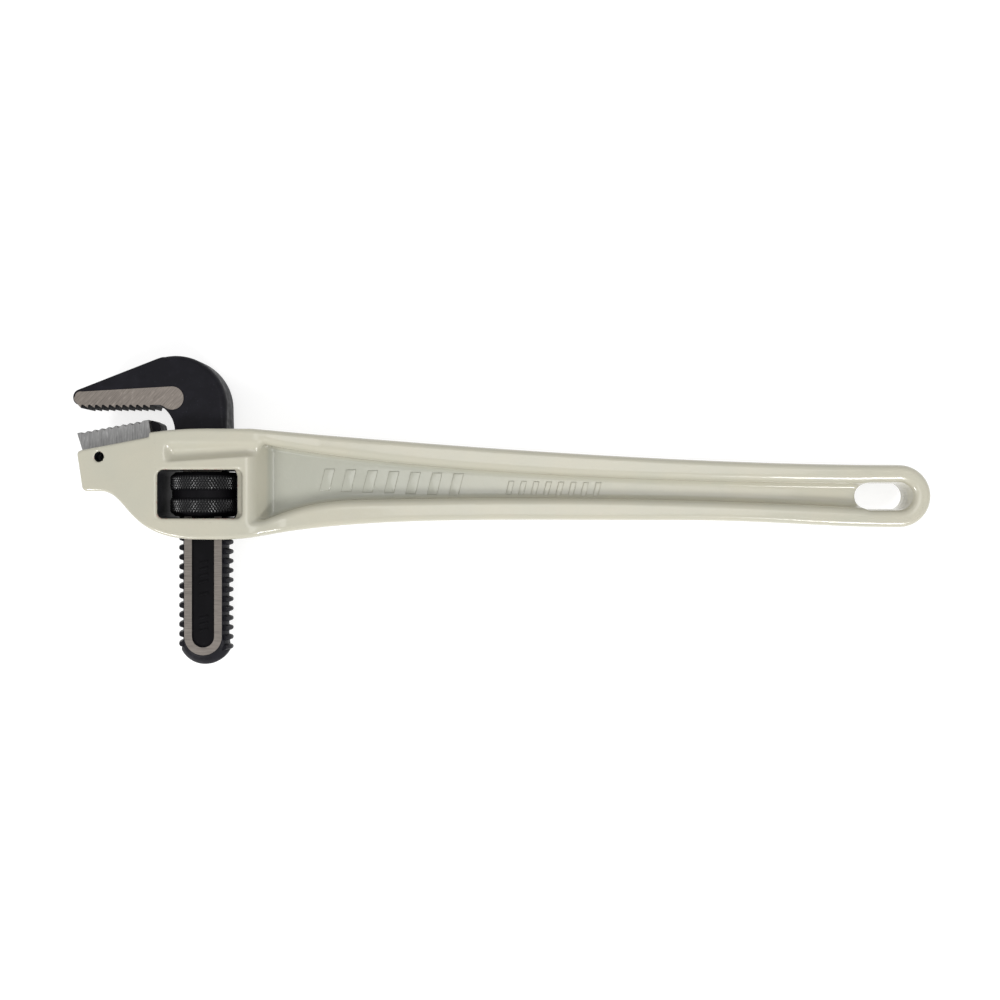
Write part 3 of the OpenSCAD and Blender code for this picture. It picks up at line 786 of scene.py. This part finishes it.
def knurled_nut(materials):
    """The adjusting nut: a grooved ring with two knurled bands and its internal thread."""
    skin = NUT_R - 0.45
    bore = CREST_R + 0.35
    h, band, groove = NUT_HALF_H, NUT_HALF_H - 1.9, 1.95
    half = [(NUT_R - 1, groove), (skin, groove + 0.4), (skin, band), (skin - 0.3, band + 0.2),
            (NUT_R - 2.6, h), (bore, h)]
    profile = [(r, -y) for r, y in half[::-1]] + half
    ring = paint(solid("nut_ring", *turned(profile, 96)), materials["nut"])
    inner = ROOT_R + 0.35
    ridge = [(inner, -0.65), (bore + 0.6, -1.5), (bore + 0.6, 1.5), (inner, 0.65)]
    turn = 360 * (2 * h - 3) / THREAD_PITCH
    ridge = paint(solid("nut_thread", *helix(ridge, 180 - turn / 2, 180 + turn / 2, 96, -1)),
                  materials["nut"])
    count, rows = 72, 6
    row = (band - groove - 0.4) / rows
    wide = math.pi * NUT_R / count * 0.94
    tip, base = NUT_R - 0.02, skin - 0.06
    diamond = [(base, -row * 0.96, 0), (base, 0, wide), (base, row * 0.96, 0), (base, 0, -wide),
               (tip, 0, 0), (base - 0.3, 0, 0)]
    faces = [(0, 1, 4), (1, 2, 4), (2, 3, 4), (3, 0, 4), (1, 0, 5), (2, 1, 5), (3, 2, 5), (0, 3, 5)]
    bands = [repeated("nut_knurl", diamond, faces, materials["knurl"],
                      (count, 0, 0, 2 * math.pi / count),
                      (rows - 1, start + row, row, math.pi / count))
             for start in (groove + 0.4, -band)]
    return even_shading(joined("nut_knurled", [ring, ridge] + bands), 25)


def seat_points(points):
    """From along-and-off the heel jaw's seat to the head's own axes."""
    points = np.asarray(points, float)
    return SEAT_START + points[:, :1] * SEAT_DIR + points[:, 1:] * SEAT_UP


def heel(materials):
    """The heel jaw: a ground, toothed block with a black tail and a tongue in the casting."""
    teeth = 9
    first, last = 2.6, HEEL_LEN - 1.2
    step = (last - first) / teeth
    top = [(-0.55, HEEL_H + 0.25), (0.2, HEEL_H + 0.35), (first - 0.9, HEEL_H + 0.3)]
    for i in range(teeth):
        x = first + step * i
        top += [(x - 0.25, HEEL_H - 0.75), (x + 0.25, HEEL_H - 0.85), (x + 1.3, HEEL_H - 0.1),
                (x + 2.3, HEEL_H + 0.35), (x + 2.9, HEEL_H + 0.3)]
    block = seat_points([(0.6, 0.02)] + top + [(HEEL_LEN, HEEL_H + 0.3), (HEEL_LEN, 0.02)])
    block = paint(solid("heel_block", *slab(block, rounded(PAD_HALF - 0.1, 0.12, 2), 1, 0)),
                  materials["heel"], materials["heel_wall"])
    end = HEEL_LEN + HEEL_TAIL - 2.2
    tail = seat_points([(HEEL_LEN - 1, 0.05), (end, 0.05), (end, 6.6), (end - 0.6, 7.6),
                        (HEEL_LEN + 0.6, HEEL_H + 0.1), (HEEL_LEN - 1, HEEL_H - 0.4)])
    tail = paint(solid("heel_tail", *slab(tail, rounded(TAIL_HALF, 0.5, 3))), materials["black"])
    tongue = seat_points([(6.2, -12.8), (32.8, -12.8), (32.8, 1), (6.2, 1)])
    tongue = paint(solid("heel_tongue", *slab(tongue, rounded(6.0, 0.4, 2))), materials["heel_wall"])
    drill = paint(solid("drill", *slab(arc(HEEL_PIN, HEEL_PIN_R, 0, 352.5, 47), rounded(14, 0.1, 1))),
                  materials["black"])
    cut(tongue, drill)
    return even_shading(joined("heel_jaw_block", [block, tail, tongue]), 28)


def rolled_pin(material):
    """The slotted spring pin that holds the heel jaw, below the faces of the nose."""
    wall = 0.95
    first, last = -75, 255
    r = HEEL_PIN_R - 0.02
    points = outline(arc(HEEL_PIN, r, first, last, 44), arc(HEEL_PIN, r - wall, last, first, 44))
    pin = solid("rolled_pin", *slab(points, rounded(NOSE_HALF - 4.5, 0.15, 2)))
    return even_shading(paint(pin, material), 35)


# ---------------------------------------------------------------- finishes

class Finish:
    """A node material under construction, textured in the piece's own coordinates."""

    def __init__(self, name, color, rough, metal=0.0, specular=0.5):
        self.material = bpy.data.materials.new(name)
        self.material.use_nodes = True
        self.tree = self.material.node_tree
        self.shader = self.tree.nodes["Principled BSDF"]
        self.shader.inputs["Base Color"].default_value = (*color, 1)
        self.shader.inputs["Roughness"].default_value = rough
        self.shader.inputs["Metallic"].default_value = metal
        self.shader.inputs["Specular IOR Level"].default_value = specular
        self.place = self.tree.nodes.new("ShaderNodeTexCoord").outputs["Object"]
        self.color = color

    def noise(self, scale, detail=3.0, turn=0.0):
        """Cloudy noise; scale is in lumps a metre, one number or one an axis."""
        mapping = self.tree.nodes.new("ShaderNodeMapping")
        mapping.inputs["Scale"].default_value = scale if isinstance(scale, tuple) else (scale,) * 3
        turned_place = self.tree.nodes.new("ShaderNodeMapping")
        turned_place.inputs["Rotation"].default_value = (0, 0, math.radians(turn))
        texture = self.tree.nodes.new("ShaderNodeTexNoise")
        texture.inputs["Scale"].default_value = 1.0
        texture.inputs["Detail"].default_value = detail
        self.tree.links.new(self.place, turned_place.inputs["Vector"])
        self.tree.links.new(turned_place.outputs["Vector"], mapping.inputs["Vector"])
        self.tree.links.new(mapping.outputs["Vector"], texture.inputs["Vector"])
        return texture.outputs["Fac"]

    def ramp(self, value, low, high, out_low=0.0, out_high=1.0):
        """Stretches the span low to high of a value to the span out_low to out_high."""
        node = self.tree.nodes.new("ShaderNodeMapRange")
        for socket, number in zip(("From Min", "From Max", "To Min", "To Max"),
                                  (low, high, out_low, out_high)):
            node.inputs[socket].default_value = number
        self.tree.links.new(value, node.inputs["Value"])
        return node.outputs["Result"]

    def product(self, a, b):
        """Two values multiplied."""
        node = self.tree.nodes.new("ShaderNodeMath")
        node.operation = "MULTIPLY"
        self.tree.links.new(a, node.inputs[0])
        self.tree.links.new(b, node.inputs[1])
        return node.outputs["Value"]

    def attribute(self, name):
        """A level marked on the piece's vertices."""
        node = self.tree.nodes.new("ShaderNodeAttribute")
        node.attribute_name = name
        return node.outputs["Fac"]

    def tint(self, factor, color):
        """Mixes a colour over what the base already has."""
        mix = self.tree.nodes.new("ShaderNodeMix")
        mix.data_type = "RGBA"
        base = self.shader.inputs["Base Color"]
        if base.is_linked:
            self.tree.links.new(base.links[0].from_socket, mix.inputs["A"])
        else:
            mix.inputs["A"].default_value = (*self.color, 1)
        mix.inputs["B"].default_value = (*color, 1)
        self.tree.links.new(factor, mix.inputs["Factor"])
        self.tree.links.new(mix.outputs["Result"], base)

    def drive(self, socket, value):
        """Lets a value set one of the shader's sockets."""
        self.tree.links.new(value, self.shader.inputs[socket])

    def bump(self, height, depth, strength=1.0):
        """Raises the surface by depth metres; a second call adds to the first."""
        node = self.tree.nodes.new("ShaderNodeBump")
        node.inputs["Distance"].default_value = depth
        node.inputs["Strength"].default_value = strength
        normal = self.shader.inputs["Normal"]
        if normal.is_linked:
            self.tree.links.new(normal.links[0].from_socket, node.inputs["Normal"])
        self.tree.links.new(height, node.inputs["Height"])
        self.tree.links.new(node.outputs["Normal"], normal)


def cream_enamel():
    """Thick glossy paint, chipped round the window, with painted shade: darker and greyer on the sunk web,
    and near-black, rougher and uncoated in the window and the machined slots.
    """
    f = Finish("cream_enamel", (0.466, 0.445, 0.358), 0.24)
    f.shader.inputs["Coat Weight"].default_value = 0.5
    f.shader.inputs["Coat Roughness"].default_value = 0.06
    f.tint(f.ramp(f.noise(45), 0.35, 0.75, 0, 0.5), (0.419, 0.419, 0.350))
    f.tint(f.ramp(f.noise(190, 5), 0.62, 0.8, 0, 0.35), (0.50, 0.445, 0.37))
    f.tint(f.ramp(f.noise(1300, 2), 0.70, 0.76, 0, 0.4), (0.36, 0.33, 0.27))
    # Painted shade: the web between the flanges and the bars on it are tinted darker and greyer
    f.tint(f.ramp(f.attribute("sunk"), 0, 1, 0, 0.85), (0.366, 0.372, 0.318))
    painted_shade_and_chips = f.attribute("painted_shade_and_chips")
    chips = f.product(f.ramp(painted_shade_and_chips, 0.15, 0.6), f.ramp(f.noise(420, 2), 0.58, 0.62))
    f.tint(chips, (0.42, 0.30, 0.25))
    # Painted shade: near-black where the window and the machined slots lie in shade
    f.tint(f.ramp(painted_shade_and_chips, 0.86, 0.93), (0.006, 0.006, 0.008))
    f.drive("Roughness", f.ramp(painted_shade_and_chips, 0.86, 0.93, 0.24, 0.6))
    f.drive("Coat Weight", f.ramp(painted_shade_and_chips, 0.86, 0.93, 0.5, 0.0))
    f.bump(f.noise(75, 2), 0.0011, 0.35)
    f.bump(f.noise(650, 3), 0.00012, 0.5)
    return f.material


def forged(name, color, rough, specular, depth):
    """Black oxide over forging scale."""
    f = Finish(name, color, rough, 0.0, specular)
    f.tint(f.ramp(f.noise(160, 5), 0.45, 0.8, 0, 0.55), tuple(1.9 * c for c in color))
    f.tint(f.ramp(f.noise(900, 3), 0.66, 0.76, 0, 0.6), tuple(4 * c for c in color))
    f.drive("Roughness", f.ramp(f.noise(300, 4), 0.3, 0.7, rough - 0.08, rough + 0.12))
    f.bump(f.noise(420, 5), depth, 0.6)
    return f.material


def ground(name, color, rough, lines, turn):
    """Bright steel with grinding lines; lines is how fine they are across and along."""
    f = Finish(name, color, rough, 0.9)
    across, along = lines
    dark, bright = tuple(0.55 * c for c in color), tuple(1.45 * c for c in color)
    f.tint(f.ramp(f.noise((across, along, 60), 5, turn), 0.42, 0.72, 0, 0.75), dark)
    f.tint(f.ramp(f.noise((across * 0.45, along * 2, 60), 3, turn), 0.55, 0.75, 0, 0.7), bright)
    f.tint(f.ramp(f.noise(110, 3), 0.5, 0.75, 0, 0.35), tuple(0.8 * c for c in color))
    f.bump(f.noise((across, along, 60), 4, turn), 0.00012, 0.5)
    return f.material


def finishes():
    """Every finish of the tool, by the name the pieces ask for it."""
    spring = Finish("blued_spring_steel", (0.10, 0.11, 0.14), 0.35, 0.9)
    spring.tint(spring.ramp(spring.noise(500, 3), 0.4, 0.7, 0, 0.5), (0.05, 0.05, 0.06))
    pin = Finish("dark_pin", (0.012, 0.012, 0.013), 0.5, 0.0, 0.2)
    pin.tint(pin.ramp(pin.noise(900, 2), 0.5, 0.7, 0, 0.5), (0.03, 0.028, 0.026))
    return {
        "enamel": cream_enamel(),
        "black": forged("black_forging", (0.0072, 0.0070, 0.0096), 0.46, 0.12, 0.00016),
        "nut": forged("black_nut", (0.0032, 0.0030, 0.0038), 0.45, 0.07, 0.00008),
        "knurl": forged("black_knurl", (0.0062, 0.0062, 0.0068), 0.32, 0.42, 0.00003),
        "pad": ground("ground_jaw_face", (0.290, 0.256, 0.228), 0.42, (2600, 130), 43),
        "flat": ground("ground_shank_flat", (0.218, 0.196, 0.177), 0.48, (170, 2300), 0),
        "heel": ground("ground_heel_face", (0.330, 0.328, 0.326), 0.42, (2400, 120), 0),
        "heel_wall": ground("heel_wall", (0.26, 0.255, 0.25), 0.5, (600, 500), 0),
        "spring": spring.material,
        "pin": pin.material}


# ---------------------------------------------------------------- generic marks on the web

def web_bars(material):
    """Two rows of plain slanted bars cast on each side of the web."""
    bars = []
    slant = math.tan(math.radians(14))
    # Each row is the first bar's middle, the step to the next one, their number, and a bar's size
    rows = [((65, 7.6), (11.4, -0.42), 7, (5.4, 11.6)), ((162, 3.3), (6.6, -0.12), 8, (3.0, 7.4))]
    for first, step, count, (wide, high) in rows:
        lean = slant * high / 2
        for i in range(count):
            at = np.array(first) + i * np.array(step)
            bar = at + np.array([(-wide / 2 - lean, -high / 2), (wide / 2 - lean, -high / 2),
                                 (wide / 2 + lean, high / 2), (-wide / 2 + lean, high / 2)])
            bars.append(paint(solid("web_bar", *slab(bar, rounded(WEB_HALF + 0.55, 0.5, 3))), material))
    return bars


# ---------------------------------------------------------------- camera and light

def camera_over_the_tool():
    """Looks straight down on the tool as it lies on the side of its head."""
    data = bpy.data.cameras.new("camera")
    data.lens = 36.4
    data.sensor_width = 36
    data.clip_start = 0.01
    camera = in_scene("camera", data)
    camera.location = (-0.0009, 0.0054, HEAD[2] + 0.540)
    bpy.context.scene.camera = camera


def lamp(name, at, size, power):
    """A square soft box that faces the tool's middle."""
    data = bpy.data.lights.new(name, "AREA")
    data.shape = "SQUARE"
    data.size = size
    data.energy = power
    soft_box = in_scene(name, data)
    soft_box.location = at
    soft_box.rotation_euler = Vector(at).to_track_quat("Z", "Y").to_euler()


def studio():
    """A pale even room, with two soft boxes beyond the shank's end and a weaker one overhead."""
    lamp("left_light", (-0.75, -0.75, 0.85), 0.3, 6.2)
    lamp("right_light", (0.60, -0.75, 0.85), 0.3, 6.2)
    lamp("fill_light", (0.15, 0.15, 1.3), 0.7, 3)
    world = bpy.data.worlds.new("room")
    world.use_nodes = True
    world.node_tree.nodes["Background"].inputs["Color"].default_value = (1, 1, 1, 1)
    world.node_tree.nodes["Background"].inputs["Strength"].default_value = 0.66
    bpy.context.scene.world = world
    bpy.context.scene.view_settings.view_transform = "Standard"
    mesh = bpy.data.meshes.new("floor")
    mesh.from_pydata([(-3, -3, 0), (3, -3, 0), (3, 3, 0), (-3, 3, 0)], [], [(0, 1, 2, 3)])
    floor = in_scene("floor", mesh)
    m = bpy.data.materials.new("floor")
    m.use_nodes = True
    # A lit table: it glows enough to keep the tool's own shadow faint
    shader = m.node_tree.nodes["Principled BSDF"]
    shader.inputs["Base Color"].default_value = (0.38, 0.38, 0.38, 1)
    shader.inputs["Emission Color"].default_value = (1, 1, 1, 1)
    shader.inputs["Emission Strength"].default_value = 0.72
    floor.data.materials.append(m)


def show(piece, body, slot_name, *nodes):
    """Puts a finished piece in the frame, in place of the frame's own nodes."""
    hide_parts(*nodes)
    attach(piece, body)


def build():
    """Makes every piece with its finishes, then the light and the camera."""
    materials = finishes()
    enamel = materials["enamel"]
    casting = joined("casting", [paint(cast_handle(), enamel)] + web_bars(enamel))
    show(mark_sunk(smooth(casting, 50)), "handle", "enamel", "handle")
    show(hook(materials), "hook", "black_forging", "hook_jaw")
    show(knurled_nut(materials), "nut", "black_nut", "adjusting_nut")
    show(heel(materials), "handle", "ground_steel", "heel_jaw")
    show(rolled_pin(materials["pin"]), "handle", "spring_steel", "heel_jaw_pin")
    for name in ("flat_spring", "coil_spring", "spring_pin"):
        paint(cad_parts[name], materials["spring"])
    camera_over_the_tool()
    studio()


build()
